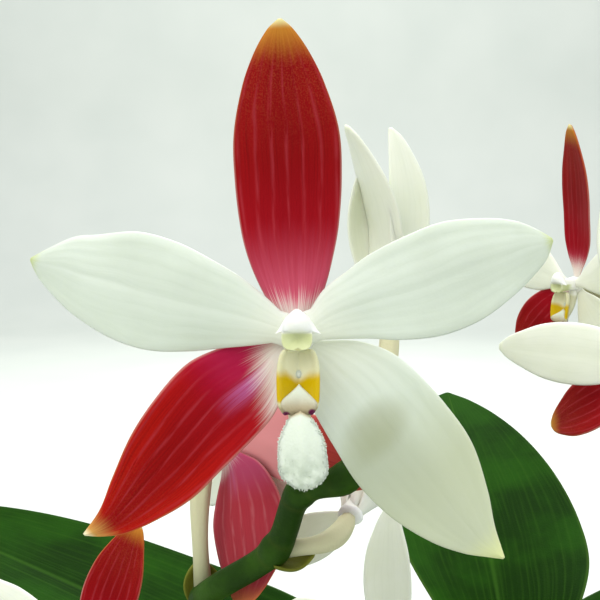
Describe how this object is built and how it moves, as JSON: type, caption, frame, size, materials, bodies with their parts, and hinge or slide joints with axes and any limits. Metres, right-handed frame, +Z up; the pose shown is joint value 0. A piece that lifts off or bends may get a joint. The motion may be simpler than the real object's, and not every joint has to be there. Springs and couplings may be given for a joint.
{
  "type": "potted orchid plant",
  "caption": "Moth orchid in a plain round pot of bark, with arching leaves, hanging roots and zigzag flower spikes carrying white blooms marked in crimson.",
  "frame": {"origin": "centre of the pot's underside", "axes": "+Z up, the front bloom faces -Y"},
  "size_m": [0.2969, 0.3161, 0.2447],
  "materials": {
    "pot_plastic": "satin black plastic",
    "bark": "rough, matt",
    "stem": "smooth, waxy",
    "root": "matt, silvery green",
    "leaf": "smooth, waxy",
    "spike": "smooth, waxy",
    "white_tepal": "waxy, with faint veins",
    "crimson_tepal": "waxy, with paler lines along it",
    "column": "smooth, waxy",
    "lip": "waxy, with a short white nap at the front"
  },
  "bodies": {
    "root": {"pot": "pot_plastic", "potting_bark": "bark", "stem_base": "stem", "root_1": "root", "root_2": "root", "root_3": "root", "root_4": "root", "root_5": "root", "root_6": "root", "leaf_back": "leaf", "leaf_back_left": "leaf", "leaf_back_right": "leaf", "leaf_front": "leaf", "leaf_front_right": "leaf", "leaf_front_left": "leaf", "front_spike": "spike", "back_spike": "spike", "front_column": "column", "front_dorsal_sepal": "crimson_tepal", "front_left_petal": "white_tepal", "front_left_sepal": "crimson_tepal", "front_lip": "lip", "front_right_petal": "white_tepal", "front_right_sepal": "white_tepal", "far_right_flower": "white_tepal", "far_right_flower_sepal_left": "crimson_tepal", "left_flower": "white_tepal", "left_flower_sepal_left": "crimson_tepal", "left_flower_sepal_right": "crimson_tepal", "low_left_flower": "white_tepal", "low_left_flower_dorsal": "crimson_tepal", "low_left_flower_sepal_left": "crimson_tepal", "low_right_flower": "white_tepal", "low_right_flower_sepal_left": "crimson_tepal", "lower_flower": "white_tepal", "right_flower": "white_tepal", "right_flower_dorsal": "crimson_tepal", "right_flower_sepal_left": "crimson_tepal", "upper_flower": "white_tepal"}
  },
  "joints": []
}
